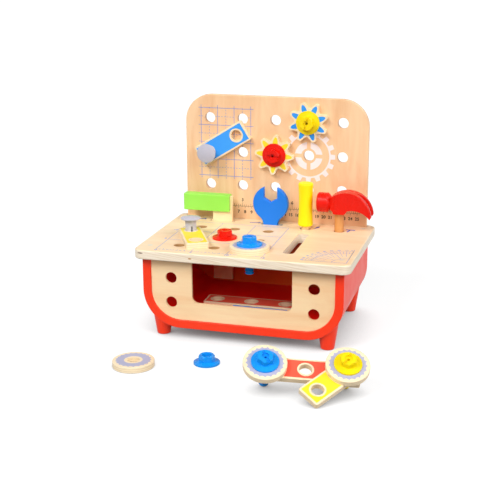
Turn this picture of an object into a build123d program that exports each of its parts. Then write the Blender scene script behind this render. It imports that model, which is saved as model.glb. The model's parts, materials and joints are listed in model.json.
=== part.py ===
from build123d import *
import math
import os

# A wooden play workbench with its tools and building pieces, in millimetres.
# X runs to the right, Y to the back and Z up; the origin is on the floor under the worktop's centre.

# Worktop
WORKTOP_WIDTH = 300.0
WORKTOP_DEPTH = 210.0
WORKTOP_THICKNESS = 13.3
WORKTOP_CORNER_RADIUS = 13.0
WORKTOP_EDGE_ROUNDING = 2.0
FRONT_OVERHANG = 12.0
SIDE_OVERHANG = 9.5
REAR_LIP = 4.0

# Bent shell, feet and front panel
FOOT_HEIGHT = 14.0
FOOT_TIP_DIAMETER = 18.5
FOOT_TAPER_ANGLE = 8.5
FOOT_TIP_ROUNDING = 1.5
FOOT_SIDE_INSET = 23.5
FOOT_FRONT_INSET = 15.0
FOOT_BACK_INSET = 12.0
FOOT_DOWEL_DIAMETER = 10.0
FOOT_DOWEL_LENGTH = 11.0
SHELL_WIDTH = WORKTOP_WIDTH - 2 * SIDE_OVERHANG
SHELL_HEIGHT = 98.7
SHELL_THICKNESS = 12.0
SHELL_CORNER_RADIUS = 53.0
SHELL_EDGE_ROUNDING = 1.2
PANEL_THICKNESS = 4.0
PANEL_RECESS = 2.0
WINDOW_WIDTH = 140.5
WINDOW_DEPTH = 61.2
WINDOW_CORNER_RADIUS = 9.0
PANEL_HOLE_SPACING = 200.0
PANEL_HOLE_PITCH = 35.0
PANEL_HOLE_DROP = 27.2

# Back board
BOARD_SIDE_INSET = 3.0
BOARD_WIDTH = SHELL_WIDTH - 2 * BOARD_SIDE_INSET
BOARD_THICKNESS = 8.0
BOARD_RISE = 185.5
BOARD_TOP_RADIUS = 40.0
BOARD_LOW_RADIUS = 48.0
BOARD_FOOT_GAP = 3.0
BOARD_EDGE_ROUNDING = 1.0
BOARD_COLUMNS = 5
BOARD_ROWS = 3
BOARD_HOLE_DROP = 34.5

# Peg holes shared by the worktop, the board, the panel and the loose plates
PEG_HOLE_DIAMETER = 16.0
HOLE_PITCH = 50.0

# Worktop holes and slots
WORKTOP_COLUMNS = 3
WORKTOP_ROWS = 3
FIRST_COLUMN_FROM_LEFT = 55.0
FIRST_ROW_FROM_FRONT = 37.0
SAW_SLOT_WIDTH = 15.5
SAW_SLOT_LENGTH = 101.0
SAW_SLOT_CORNER_RADIUS = 5.0
SAW_SLOT_FROM_RIGHT = 91.7
SAW_SLOT_FROM_FRONT = 36.0
TOOL_HOLE_FROM_BOARD = 32.5
TOOL_SLOT_FROM_BOARD = 20.2
SQUARE_SLOT_FROM_LEFT = 75.0
WRENCH_SLOT_X = 0.7
DRIVER_HOLE_FROM_RIGHT = 96.4
HAMMER_HOLE_FROM_RIGHT = 46.6

# Dowels and screws
DOWEL_DIAMETER = 7.5
DOWEL_LENGTH = 38.0
DOWEL_CHAMFER = 0.4
DOWEL_SIDE_INSET = 16.0
DOWEL_FRONT_INSET = 27.0
DOWEL_BACK_INSET = 23.0
SCREW_HEAD_DIAMETER = 6.8
SCREW_HEAD_HEIGHT = 2.4
SCREW_SHANK_DIAMETER = 3.6
SCREW_RECESS_WIDTH = 1.0
SCREW_RECESS_DEPTH = 1.4
BOARD_SCREW_LENGTH = 24.0
BOARD_SCREW_INSET = 6.0
BOARD_SCREW_PITCH = 24.0
SCREW_SPACING = 8.0
BOARD_SCREW_SPREAD = 55.0

# Plates: strips, discs and star gears
PLATE_THICKNESS = 8.0
PLATE_EDGE_ROUNDING = 0.8
STRIP_WIDTH = 32.0
STRIP_END = 17.0
STRIP_CORNER_RADIUS = 2.5
DISC_DIAMETER = 54.6
GEAR_TIP_RADIUS = 29.4
GEAR_ROOT_RADIUS = 19.5
GEAR_POINTS = 8
GEAR_TIP_WIDTH = 5.0
GEAR_TIP_ROUNDING = 2.2
GEAR_ROOT_ROUNDING = 3.0

# Bolts, nuts and pegs
FLANGE_DIAMETER = 34.6
FLANGE_RIM = 2.2
FLANGE_RISE = 1.6
HEX_WIDTH = 18.6
HEX_TOP = 12.0
HEX_CHAMFER = 1.6
THREAD_DIAMETER = 12.5
THREAD_DEPTH = 1.4
THREAD_PITCH = 4.0
THREAD_LENGTH = 40.6
THREAD_NECK = 2.0
THREAD_TIP_CHAMFER = 0.6
DRIVE_SLOT_WIDTH = 3.6
DRIVE_SLOT_DEPTH = 3.2
DRIVE_RECESS_DIAMETER = 9.0
DRIVE_RECESS_DEPTH = 2.4
DRIVE_HOLE_DIAMETER = 3.5
DRIVE_HOLE_DEPTH = 16.0
NUT_BORE_DIAMETER = 13.5
NUT_BORE_CHAMFER = 0.8
PEG_HEAD_DIAMETER = 28.0
PEG_HEAD_HEIGHT = 5.0
PEG_HEAD_RIM = 1.4
PEG_HEAD_UNDERCUT = 1.4
PEG_SHANK_LENGTH = 32.0
PEG_SHANK_CHAMFER = 1.0
PEG_SLIT_WIDTH = 2.0
PEG_SLIT_LENGTH = 24.0
TOP_PEG_STANDOFF = 15.6
BOARD_PEG_STANDOFF = 10.5

# Try square
SQUARE_STOCK_LENGTH = 70.5
SQUARE_STOCK_HEIGHT = 25.0
SQUARE_STOCK_THICKNESS = 15.0
SQUARE_STOCK_ROUNDING = 1.2
SQUARE_STANDOFF = 15.5
SQUARE_TOP_WEB = 2.0
SQUARE_BLADE_WIDTH = 30.2
SQUARE_BLADE_THICKNESS = 6.0
SQUARE_BLADE_OVERHANG = 3.5
SQUARE_BLADE_FLOOR_GAP = 10.0
SQUARE_SLOT_LENGTH = 36.6

# Wrench
WRENCH_HEAD_RADIUS = 26.4
WRENCH_HEAD_RISE = 31.5
WRENCH_JAW_WIDTH = 20.0
WRENCH_JAW_FLOOR = 8.5
WRENCH_JAW_VEE = 6.0
WRENCH_HANDLE_WIDTH = 22.0
WRENCH_HANDLE_REACH = 60.0
WRENCH_THICKNESS = 9.0
WRENCH_NECK_RADIUS = 14.0
WRENCH_EDGE_ROUNDING = 1.8
WRENCH_SLOT_LENGTH = 32.0
WRENCH_SHIFT = -2.0

# Screwdriver
DRIVER_HANDLE_DIAMETER = 22.0
DRIVER_HANDLE_LENGTH = 63.5
DRIVER_HANDLE_WAIST = 1.1
DRIVER_HANDLE_ROUNDING = 2.4
DRIVER_STANDOFF = 5.0
DRIVER_SHAFT_DIAMETER = 12.0
DRIVER_SOCKET_DEPTH = 30.0
DRIVER_TIP_LENGTH = 16.0
DRIVER_TIP_THICKNESS = 3.0

# Hammer
HAMMER_STANDOFF = 27.5
HAMMER_HANDLE_DIAMETER = 13.4
HAMMER_HANDLE_CHAMFER = 1.0
HAMMER_FACE_DIAMETER = 28.4
HAMMER_FACE_LENGTH = 15.0
HAMMER_FACE_ROUNDING = 1.5
HAMMER_NECK_DIAMETER = 18.5
HAMMER_NECK_LENGTH = 5.0
HAMMER_BODY_THICKNESS = 25.0
HAMMER_BODY_ROUNDING = 3.0
HAMMER_REACH = 31.8
HAMMER_CROWN_RISE = 17.8
HAMMER_CLAW_REACH = 47.8
HAMMER_CLAW_DROP = 18.8
HAMMER_BOSS_DROP = 14.0
HAMMER_BOSS_WALL = 2.0
HAMMER_BOSS_CHAMFER = 1.5
HAMMER_BOSS_FLARE = 4.5
HAMMER_CLAW_TIP_HEIGHT = 3.5
HAMMER_CLAW_TIP_SLOPE = 2.0
HAMMER_CLAW_WIDTH = 29.0
HAMMER_SPLIT_START = 24.0
HAMMER_SPLIT_SHOULDER = 33.0
HAMMER_SPLIT_SHOULDER_WIDTH = 11.5
HAMMER_SPLIT_WIDTH = 18.0
HAMMER_SOCKET_DEPTH = 24.0

# Clearances
BOARD_SLOT_ROOM = 0.3
GLUE_GAP = 0.1
SLOT_ROOM = 0.5
SCREW_ROOM = 0.1
RUNNING_GAP = 0.06
SOCKET_END_GAP = 0.5

# Where the loose pieces lie: places on the floor, in the box and angles about their own holes
BOARD_STRIP_ANGLE = 32.0
BLUE_GEAR_ANGLE = 18.0
YELLOW_GEAR_ANGLE = -5.0
TOP_STRIP_ANGLE = -63.4
STORED_RED_PLACE = (-57.3, -15.3)
STORED_RED_ANGLE = 0.7
STORED_BLUE_PLACE = (-13.5, -49.5)
STORED_BLUE_ANGLE = -1.3
FLOOR_DISC_PLACE = (-113.5, -203.0)
FLOOR_NUT_PLACE = (-24.3, -170.5)
FLOOR_NUT_ANGLE = 54.6
LINKAGE_PLACE = (66.8, -223.3)
LINKAGE_HEADING = 10.6
LINKAGE_ARM_ANGLE = -134.3

# Turn of each peg and bolt head about its own axis
TOP_PEG_ANGLE = 119.0
BOARD_PEG_ANGLE = 20.0
YELLOW_BOARD_BOLT_ANGLE = 75.0
RED_BOARD_BOLT_ANGLE = -8.0
RED_TOP_BOLT_ANGLE = 31.5
BLUE_TOP_BOLT_ANGLE = 21.2
BLUE_LINK_BOLT_ANGLE = -62.0
YELLOW_LINK_BOLT_ANGLE = 62.0

# Levels and depths that follow from the sizes
shell_floor = FOOT_HEIGHT + SHELL_THICKNESS
worktop_bottom = FOOT_HEIGHT + SHELL_HEIGHT
worktop_top = worktop_bottom + WORKTOP_THICKNESS
board_bottom = FOOT_HEIGHT + BOARD_FOOT_GAP
board_top = worktop_top + BOARD_RISE
front_edge = -WORKTOP_DEPTH / 2
back_edge = WORKTOP_DEPTH / 2
board_back = back_edge - REAR_LIP - BOARD_SLOT_ROOM
board_front = board_back - BOARD_THICKNESS
shell_front = front_edge + FRONT_OVERHANG
panel_front = shell_front + PANEL_RECESS
panel_back = panel_front + PANEL_THICKNESS
tool_hole_y = board_front - TOOL_HOLE_FROM_BOARD
tool_slot_y = board_front - TOOL_SLOT_FROM_BOARD
square_slot_x = SQUARE_SLOT_FROM_LEFT - WORKTOP_WIDTH / 2
driver_hole_x = WORKTOP_WIDTH / 2 - DRIVER_HOLE_FROM_RIGHT
hammer_hole_x = WORKTOP_WIDTH / 2 - HAMMER_HOLE_FROM_RIGHT
peg_hole_radius = PEG_HOLE_DIAMETER / 2
peg_shank_radius = peg_hole_radius - RUNNING_GAP
THROUGH = 4 * (WORKTOP_THICKNESS + BOARD_THICKNESS + PLATE_THICKNESS)

column_x = [(i - (BOARD_COLUMNS - 1) / 2) * HOLE_PITCH for i in range(BOARD_COLUMNS)]
row_z = [board_top - BOARD_HOLE_DROP - i * HOLE_PITCH for i in range(BOARD_ROWS)]
top_x = [FIRST_COLUMN_FROM_LEFT - WORKTOP_WIDTH / 2 + i * HOLE_PITCH for i in range(WORKTOP_COLUMNS)]
top_y = [front_edge + FIRST_ROW_FROM_FRONT + i * HOLE_PITCH for i in range(WORKTOP_ROWS)]


def upright(sketch, near, far):
    """A sketch drawn in X and Z, made solid from y = near to y = far."""
    plane = Plane(origin=(0, (near + far) / 2, 0), x_dir=(1, 0, 0), z_dir=(0, -1, 0))
    return extrude(plane * sketch, amount=(far - near) / 2, both=True)


def bore(diameter):
    """A cutter along local Z, long enough to pass through any plate."""
    return Cylinder(diameter / 2, THROUGH)


def on_board(x, z, angle=0.0):
    """A place on the board's front face, with local Z pointing out of it."""
    return Location((x, board_front, z), (90, 0, 0)) * Rot(0, 0, angle)


def turned(points):
    """A solid of revolution about Z from an outline of radius and height."""
    outline = Polyline([(r, 0, z) for r, z in points], close=True)
    return revolve(make_face(outline), axis=Axis.Z)


def rounded_u(width, height, radius):
    """A flat-topped outline with its base at z = 0 and rounded lower corners."""
    outline = Pos(0, height / 2) * Rectangle(width, height)
    return fillet(outline.vertices().group_by(Axis.Y)[0], radius)


def screw(length):
    """A countersunk cross-head screw, its head's top at z = 0 and its point downwards."""
    head = SCREW_HEAD_DIAMETER / 2
    shank = SCREW_SHANK_DIAMETER / 2
    body = turned(
        [(0, 0), (head, 0), (shank, -SCREW_HEAD_HEIGHT), (shank, -length + shank), (0, -length)]
    )
    arm = Box(SCREW_HEAD_DIAMETER * 0.62, SCREW_RECESS_WIDTH, 2 * SCREW_RECESS_DEPTH)
    return body - arm - Rot(0, 0, 90) * arm


def screw_cutter(length):
    """The hole for a screw: a countersink and a pilot hole, each a little larger than the screw."""
    head = SCREW_HEAD_DIAMETER / 2 + SCREW_ROOM
    shank = SCREW_SHANK_DIAMETER / 2 + SCREW_ROOM
    deep = length + SOCKET_END_GAP
    lift = 1.0
    return turned(
        [(0, lift), (head, lift), (head, 0), (shank, -SCREW_HEAD_HEIGHT), (shank, -deep), (0, -deep)]
    )


def box_floor(x):
    """The height of the shell's inner face at a distance x from the middle."""
    radius = SHELL_CORNER_RADIUS - SHELL_THICKNESS
    past = max(0.0, abs(x) - (SHELL_WIDTH / 2 - SHELL_CORNER_RADIUS))
    return shell_floor + radius - math.sqrt(radius**2 - past**2)


# Places of the dowels and screws, each with its local Z pointing out of the end that shows
dowel_places = [
    Pos(side * (WORKTOP_WIDTH / 2 - DOWEL_SIDE_INSET), y, worktop_top)
    for side in (-1, 1)
    for y in (front_edge + DOWEL_FRONT_INSET, back_edge - DOWEL_BACK_INSET)
]
board_screw_x = BOARD_WIDTH / 2 - BOARD_SCREW_INSET
upper_drop = DOWEL_LENGTH - WORKTOP_THICKNESS + SCREW_SPACING
board_screw_points = [
    (side * board_screw_x, worktop_bottom - drop)
    for side in (-1, 1)
    for drop in (upper_drop, upper_drop + BOARD_SCREW_PITCH)
]
board_screw_points += [(side * BOARD_SCREW_SPREAD, board_bottom + BOARD_SCREW_INSET) for side in (-1, 1)]
board_screw_places = [Location((x, board_back, z), (-90, 0, 0)) for x, z in board_screw_points]

# Feet: where each stands, and where its axis meets the shell's outer curve
foot_x = SHELL_WIDTH / 2 - FOOT_SIDE_INSET
foot_ys = {"front": shell_front + FOOT_FRONT_INSET, "rear": board_front - FOOT_BACK_INSET}
curve_x = max(0.0, foot_x - (SHELL_WIDTH / 2 - SHELL_CORNER_RADIUS))
foot_meets = FOOT_HEIGHT + SHELL_CORNER_RADIUS - math.sqrt(SHELL_CORNER_RADIUS**2 - curve_x**2)
foot_places = {
    f"foot_{end}_{name}": (side * foot_x, y)
    for end, y in foot_ys.items()
    for name, side in (("left", -1), ("right", 1))
}

# The hole for a dowel, open at the worktop's face and a little deeper than the dowel
dowel_hole = Cylinder(
    DOWEL_DIAMETER / 2 + GLUE_GAP, 2 * (DOWEL_LENGTH + SOCKET_END_GAP), align=(Align.CENTER,) * 3
)

pieces = {}

# The shell is one board bent to a U, open at the front, the back and the top.
outer_u = Pos(0, FOOT_HEIGHT) * rounded_u(SHELL_WIDTH, SHELL_HEIGHT, SHELL_CORNER_RADIUS)
inner_u = Pos(0, shell_floor) * rounded_u(
    SHELL_WIDTH - 2 * SHELL_THICKNESS, SHELL_HEIGHT, SHELL_CORNER_RADIUS - SHELL_THICKNESS
)
shell = upright(outer_u - inner_u, shell_front, board_front)
shell = fillet(shell.faces().sort_by(Axis.Y)[0].edges(), SHELL_EDGE_ROUNDING)
shell -= [place * dowel_hole for place in dowel_places]
shell -= [place * screw_cutter(BOARD_SCREW_LENGTH) for place in board_screw_places]
foot_hole = Cylinder(
    FOOT_DOWEL_DIAMETER / 2 + GLUE_GAP,
    foot_meets + FOOT_DOWEL_LENGTH + SOCKET_END_GAP,
    align=(Align.CENTER, Align.CENTER, Align.MIN),
)
shell -= [Pos(x, y, 0) * foot_hole for x, y in foot_places.values()]
pieces["shell"] = shell

# Each foot is a turned cone, coped to the shell's curve, with a dowel turned on its top.
foot_cone_height = FOOT_HEIGHT + SHELL_CORNER_RADIUS
foot_cone = Cone(
    FOOT_TIP_DIAMETER / 2,
    FOOT_TIP_DIAMETER / 2 + foot_cone_height * math.tan(math.radians(FOOT_TAPER_ANGLE)),
    foot_cone_height,
    align=(Align.CENTER, Align.CENTER, Align.MIN),
)
foot_cone = fillet(foot_cone.edges().sort_by(Axis.Z)[0], FOOT_TIP_ROUNDING)
foot_dowel = Pos(0, 0, foot_meets - FOOT_DOWEL_DIAMETER) * Cylinder(
    FOOT_DOWEL_DIAMETER / 2,
    FOOT_DOWEL_DIAMETER + FOOT_DOWEL_LENGTH,
    align=(Align.CENTER, Align.CENTER, Align.MIN),
)
foot_cope = upright(
    Pos(0, FOOT_HEIGHT - GLUE_GAP)
    * rounded_u(SHELL_WIDTH + 2 * GLUE_GAP, 2 * SHELL_HEIGHT, SHELL_CORNER_RADIUS + GLUE_GAP),
    front_edge - WORKTOP_DEPTH,
    back_edge + WORKTOP_DEPTH,
)
for name, (x, y) in foot_places.items():
    pieces[name] = Pos(x, y, 0) * foot_cone - foot_cope + Pos(x, y, 0) * foot_dowel

# The front panel fills the U and is cut out at the top to leave the storage window.
panel = upright(
    Pos(0, shell_floor + GLUE_GAP)
    * rounded_u(
        SHELL_WIDTH - 2 * SHELL_THICKNESS - 2 * GLUE_GAP,
        worktop_bottom - shell_floor - GLUE_GAP,
        SHELL_CORNER_RADIUS - SHELL_THICKNESS - GLUE_GAP,
    ),
    panel_front,
    panel_back,
)
window = upright(
    Pos(0, worktop_bottom - WINDOW_DEPTH) * rounded_u(WINDOW_WIDTH, 2 * WINDOW_DEPTH, WINDOW_CORNER_RADIUS),
    panel_front - THROUGH,
    panel_back + THROUGH,
)
panel -= window
panel -= [
    Location((side * PANEL_HOLE_SPACING / 2, panel_front, worktop_bottom - drop), (90, 0, 0))
    * bore(PEG_HOLE_DIAMETER)
    for side in (-1, 1)
    for drop in (PANEL_HOLE_DROP, PANEL_HOLE_DROP + PANEL_HOLE_PITCH)
]
pieces["front_panel"] = panel

# The back board stands behind the shell, passes up through the worktop and carries the peg holes.
board_height = board_top - board_bottom
board_outline = Pos(0, board_bottom + board_height / 2) * Rectangle(BOARD_WIDTH, board_height)
board_outline = fillet(board_outline.vertices().group_by(Axis.Y)[0], BOARD_LOW_RADIUS)
board_outline = fillet(board_outline.vertices().group_by(Axis.Y)[-1], BOARD_TOP_RADIUS)
board = upright(board_outline, board_front, board_back)
board = fillet(
    board.faces().sort_by(Axis.Y)[0].edges() + board.faces().sort_by(Axis.Y)[-1].edges(),
    BOARD_EDGE_ROUNDING,
)
board -= [on_board(x, z) * bore(PEG_HOLE_DIAMETER) for x in column_x for z in row_z]
board -= [place * screw_cutter(BOARD_SCREW_LENGTH) for place in board_screw_places]
pieces["back_board"] = board

# The worktop is a thick plate with peg holes, a saw slot, tool slots and a slot for the back board.
worktop = Pos(0, 0, worktop_bottom) * extrude(
    RectangleRounded(WORKTOP_WIDTH, WORKTOP_DEPTH, WORKTOP_CORNER_RADIUS), amount=WORKTOP_THICKNESS
)
worktop = fillet(
    worktop.faces().sort_by(Axis.Z)[0].edges() + worktop.faces().sort_by(Axis.Z)[-1].edges(),
    WORKTOP_EDGE_ROUNDING,
)
worktop_cuts = [Pos(x, y, worktop_top) * bore(PEG_HOLE_DIAMETER) for x in top_x for y in top_y]
worktop_cuts += [
    Pos(x, tool_hole_y, worktop_top) * bore(PEG_HOLE_DIAMETER) for x in (driver_hole_x, hammer_hole_x)
]
saw_slot_x = WORKTOP_WIDTH / 2 - SAW_SLOT_FROM_RIGHT
saw_slot_y = front_edge + SAW_SLOT_FROM_FRONT + SAW_SLOT_LENGTH / 2
saw_slot_outline = RectangleRounded(SAW_SLOT_WIDTH, SAW_SLOT_LENGTH, SAW_SLOT_CORNER_RADIUS)
worktop_cuts.append(
    Pos(saw_slot_x, saw_slot_y, worktop_top) * extrude(saw_slot_outline, amount=THROUGH / 2, both=True)
)
slots = [
    (square_slot_x, tool_slot_y, SQUARE_SLOT_LENGTH, SQUARE_BLADE_THICKNESS + 2 * SLOT_ROOM),
    (WRENCH_SLOT_X, tool_slot_y, WRENCH_SLOT_LENGTH, WRENCH_THICKNESS + 2 * SLOT_ROOM),
    (
        0,
        (board_front + board_back) / 2,
        BOARD_WIDTH + 8 * BOARD_SLOT_ROOM,
        BOARD_THICKNESS + 2 * BOARD_SLOT_ROOM,
    ),
]
worktop_cuts += [Pos(x, y, worktop_top) * Box(wide, deep, THROUGH) for x, y, wide, deep in slots]
worktop -= worktop_cuts
worktop -= [place * dowel_hole for place in dowel_places]
pieces["worktop"] = worktop

dowel = Cylinder(DOWEL_DIAMETER / 2, DOWEL_LENGTH, align=(Align.CENTER, Align.CENTER, Align.MAX))
dowel = chamfer(dowel.edges().filter_by(GeomType.CIRCLE).sort_by(Axis.Z)[0], DOWEL_CHAMFER)
pieces["worktop_dowels"] = Compound([(place * dowel).solid() for place in dowel_places])
pieces["board_screws"] = Compound([(place * screw(BOARD_SCREW_LENGTH)).solid() for place in board_screw_places])


def strip(holes):
    """A flat strip lying on z = 0, its first hole on the origin and the others along +X."""
    span = (holes - 1) * HOLE_PITCH
    outline = RectangleRounded(span + 2 * STRIP_END, STRIP_WIDTH, STRIP_CORNER_RADIUS)
    plate = Pos(span / 2, 0, 0) * extrude(outline, amount=PLATE_THICKNESS)
    rims = plate.faces().sort_by(Axis.Z)[0].edges() + plate.faces().sort_by(Axis.Z)[-1].edges()
    plate = fillet(rims, PLATE_EDGE_ROUNDING)
    return plate - [Pos(i * HOLE_PITCH, 0, 0) * bore(PEG_HOLE_DIAMETER) for i in range(holes)]


def disc():
    """A round plate lying on z = 0 with a peg hole in its middle."""
    plate = Pos(0, 0, PLATE_THICKNESS / 2) * Cylinder(DISC_DIAMETER / 2, PLATE_THICKNESS)
    plate = fillet(plate.edges().filter_by(GeomType.CIRCLE), PLATE_EDGE_ROUNDING)
    return plate - bore(PEG_HOLE_DIAMETER)


def star_gear():
    """A gear with rounded points like a star, lying on z = 0 with one point along +X."""
    step = 360 / GEAR_POINTS
    tip_angle = math.degrees(math.atan2(GEAR_TIP_WIDTH / 2, GEAR_TIP_RADIUS))
    corners = []
    for i in range(GEAR_POINTS):
        corners.append((GEAR_TIP_RADIUS, i * step - tip_angle))
        corners.append((GEAR_TIP_RADIUS, i * step + tip_angle))
        corners.append((GEAR_ROOT_RADIUS, (i + 0.5) * step))
    points = [(r * math.cos(math.radians(a)), r * math.sin(math.radians(a))) for r, a in corners]
    outline = Polygon(*points, align=None)
    middle = (GEAR_TIP_RADIUS + GEAR_ROOT_RADIUS) / 2
    outline = fillet([v for v in outline.vertices() if v.center().length > middle], GEAR_TIP_ROUNDING)
    valleys = [v for v in outline.vertices() if v.center().length < GEAR_ROOT_RADIUS + 0.01]
    outline = fillet(valleys, GEAR_ROOT_ROUNDING)
    return extrude(outline, amount=PLATE_THICKNESS) - bore(PEG_HOLE_DIAMETER)


def hex_head(bottom_radius):
    """The flange and six-sided head that bolts and nuts share, seated on z = 0."""
    flange_radius = FLANGE_DIAMETER / 2
    corner = HEX_WIDTH / math.sqrt(3)
    flange = turned(
        [
            (bottom_radius, 0),
            (flange_radius, 0),
            (flange_radius, FLANGE_RIM),
            (corner, FLANGE_RIM + FLANGE_RISE),
            (bottom_radius, FLANGE_RIM + FLANGE_RISE),
        ]
    )
    block = extrude(Rot(0, 0, 30) * RegularPolygon(corner, 6), amount=HEX_TOP)
    crown = turned(
        [
            (0, 0),
            (corner + HEX_CHAMFER, 0),
            (corner + HEX_CHAMFER, HEX_TOP - 2 * HEX_CHAMFER),
            (corner - HEX_CHAMFER, HEX_TOP),
            (0, HEX_TOP),
        ]
    )
    return flange + (block & crown)


def bolt():
    """A flanged bolt with a coarse rounded thread below z = 0 and a slotted head above it."""
    crest = THREAD_DIAMETER / 2
    root = crest - THREAD_DEPTH
    outline = [(0, 1.0), (root, 1.0), (root, -THREAD_NECK)]
    flank = 0.3 * THREAD_PITCH
    ribs = int((THREAD_LENGTH - THREAD_NECK - flank - THREAD_TIP_CHAMFER) // THREAD_PITCH)
    for i in range(ribs):
        start = -THREAD_NECK - i * THREAD_PITCH
        outline.append((crest, start - flank))
        outline.append((crest, start - 0.55 * THREAD_PITCH))
        outline.append((root, start - 0.85 * THREAD_PITCH))
        outline.append((root, start - THREAD_PITCH))
    outline.append((crest, -THREAD_NECK - ribs * THREAD_PITCH - flank))
    outline.append((crest, -THREAD_LENGTH + THREAD_TIP_CHAMFER))
    outline.append((crest - THREAD_TIP_CHAMFER, -THREAD_LENGTH))
    outline.append((0, -THREAD_LENGTH))
    whole = hex_head(0.0) + turned(outline)
    whole -= Pos(0, 0, HEX_TOP) * Box(2 * HEX_WIDTH, DRIVE_SLOT_WIDTH, 2 * DRIVE_SLOT_DEPTH)
    whole -= Pos(0, 0, HEX_TOP) * Cylinder(DRIVE_RECESS_DIAMETER / 2, 2 * DRIVE_RECESS_DEPTH)
    whole -= Pos(0, 0, HEX_TOP) * Cylinder(DRIVE_HOLE_DIAMETER / 2, 2 * DRIVE_HOLE_DEPTH)
    return whole


def nut():
    """A flanged nut seated on z = 0 with a plain bore that clears the thread."""
    radius = NUT_BORE_DIAMETER / 2
    whole = hex_head(0.0) - bore(NUT_BORE_DIAMETER)
    mouth = Cone(
        radius, radius + 2 * NUT_BORE_CHAMFER, 2 * NUT_BORE_CHAMFER, align=(Align.CENTER,) * 3
    )
    return whole - Pos(0, 0, HEX_TOP) * mouth


def peg():
    """A push-in peg with a lens-shaped head above z = 0 and a shank below it, split by one slit."""
    radius = PEG_HEAD_DIAMETER / 2
    rim_top = PEG_HEAD_UNDERCUT + PEG_HEAD_RIM
    dome = PEG_HEAD_HEIGHT - rim_top
    sphere = (radius**2 + dome**2) / (2 * dome)
    half_turn = math.asin(radius / sphere) / 2
    middle = (sphere * math.sin(half_turn), 0, PEG_HEAD_HEIGHT - sphere * (1 - math.cos(half_turn)))
    crown = ThreePointArc((radius, 0, rim_top), middle, (0, 0, PEG_HEAD_HEIGHT))
    rest = Polyline(
        (0, 0, PEG_HEAD_HEIGHT),
        (0, 0, -PEG_SHANK_LENGTH),
        (peg_shank_radius - PEG_SHANK_CHAMFER, 0, -PEG_SHANK_LENGTH),
        (peg_shank_radius, 0, PEG_SHANK_CHAMFER - PEG_SHANK_LENGTH),
        (peg_shank_radius, 0, 0),
        (radius, 0, PEG_HEAD_UNDERCUT),
        (radius, 0, rim_top),
    )
    whole = revolve(make_face([crown, rest]), axis=Axis.Z)
    slit = Pos(0, 0, -PEG_SHANK_LENGTH) * Box(PEG_HOLE_DIAMETER, PEG_SLIT_WIDTH, 2 * PEG_SLIT_LENGTH)
    return whole - slit


# On the board: a blue strip on a half-driven grey peg, and two star gears, each on a bolt with a nut behind.
strip_peg = (column_x[0], row_z[1])
blue_gear_at = (column_x[3], row_z[0])
yellow_gear_at = (column_x[2], row_z[1])
plate_face = Pos(0, 0, PLATE_THICKNESS)
pieces["board_strip_blue"] = on_board(*strip_peg, BOARD_STRIP_ANGLE) * strip(2)
pieces["board_peg"] = on_board(*strip_peg, BOARD_PEG_ANGLE) * plate_face * Pos(0, 0, BOARD_PEG_STANDOFF) * peg()
pieces["star_gear_blue"] = on_board(*blue_gear_at, BLUE_GEAR_ANGLE) * star_gear()
pieces["star_gear_yellow"] = on_board(*yellow_gear_at, YELLOW_GEAR_ANGLE) * star_gear()
pieces["board_bolt_yellow"] = on_board(*blue_gear_at, YELLOW_BOARD_BOLT_ANGLE) * plate_face * bolt()
pieces["board_bolt_red"] = on_board(*yellow_gear_at, RED_BOARD_BOLT_ANGLE) * plate_face * bolt()
behind_board = Pos(0, 0, -BOARD_THICKNESS) * Rot(180, 0, 0)
pieces["board_nut_yellow"] = on_board(*blue_gear_at) * behind_board * nut()
pieces["board_nut_red"] = on_board(*yellow_gear_at) * behind_board * nut()

# On the worktop: a yellow strip on a half-driven peg, a red bolt, and a disc under a blue bolt.
on_top = Pos(0, 0, worktop_top)
top_strip_at = Pos(top_x[0], top_y[1], 0) * on_top
pieces["top_strip_yellow"] = top_strip_at * Rot(0, 0, TOP_STRIP_ANGLE) * strip(2)
pieces["top_peg"] = top_strip_at * plate_face * Pos(0, 0, TOP_PEG_STANDOFF) * Rot(0, 0, TOP_PEG_ANGLE) * peg()
pieces["top_bolt_red"] = Pos(top_x[1], top_y[1], 0) * on_top * Rot(0, 0, RED_TOP_BOLT_ANGLE) * bolt()
disc_at = Pos(top_x[2], top_y[0], 0) * on_top
pieces["top_disc"] = disc_at * disc()
pieces["top_bolt_blue"] = disc_at * plate_face * Rot(0, 0, BLUE_TOP_BOLT_ANGLE) * bolt()

# In the box: two spare strips lying on the shell's floor.
in_box = Pos(0, 0, shell_floor)
pieces["stored_strip_red"] = Pos(*STORED_RED_PLACE) * in_box * Rot(0, 0, STORED_RED_ANGLE) * strip(3)
pieces["stored_strip_blue"] = Pos(*STORED_BLUE_PLACE) * in_box * Rot(0, 0, STORED_BLUE_ANGLE) * strip(2)

# The try square hangs in its slot: a square-edged stock with a thin blade let into its end.
stock_bottom = worktop_top + SQUARE_STANDOFF
stock_top = stock_bottom + SQUARE_STOCK_HEIGHT
blade_top = stock_top - SQUARE_TOP_WEB
blade_bottom = shell_floor + SQUARE_BLADE_FLOOR_GAP
blade_right = square_slot_x + SQUARE_BLADE_WIDTH / 2
stock_right = blade_right - SQUARE_BLADE_OVERHANG
stock = Pos(stock_right - SQUARE_STOCK_LENGTH / 2, tool_slot_y, (stock_bottom + stock_top) / 2) * Box(
    SQUARE_STOCK_LENGTH, SQUARE_STOCK_THICKNESS, SQUARE_STOCK_HEIGHT
)
stock = fillet(stock.edges(), SQUARE_STOCK_ROUNDING)
mortise_width = SQUARE_BLADE_WIDTH + 2 * GLUE_GAP
mortise_height = 2 * (blade_top + GLUE_GAP - stock_bottom)
stock -= Pos(square_slot_x, tool_slot_y, stock_bottom) * Box(
    mortise_width, SQUARE_BLADE_THICKNESS + 2 * GLUE_GAP, mortise_height
)
pieces["square_stock"] = stock
blade = Pos(square_slot_x, tool_slot_y, (blade_bottom + blade_top) / 2) * Box(
    SQUARE_BLADE_WIDTH, SQUARE_BLADE_THICKNESS, blade_top - blade_bottom
)
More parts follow.
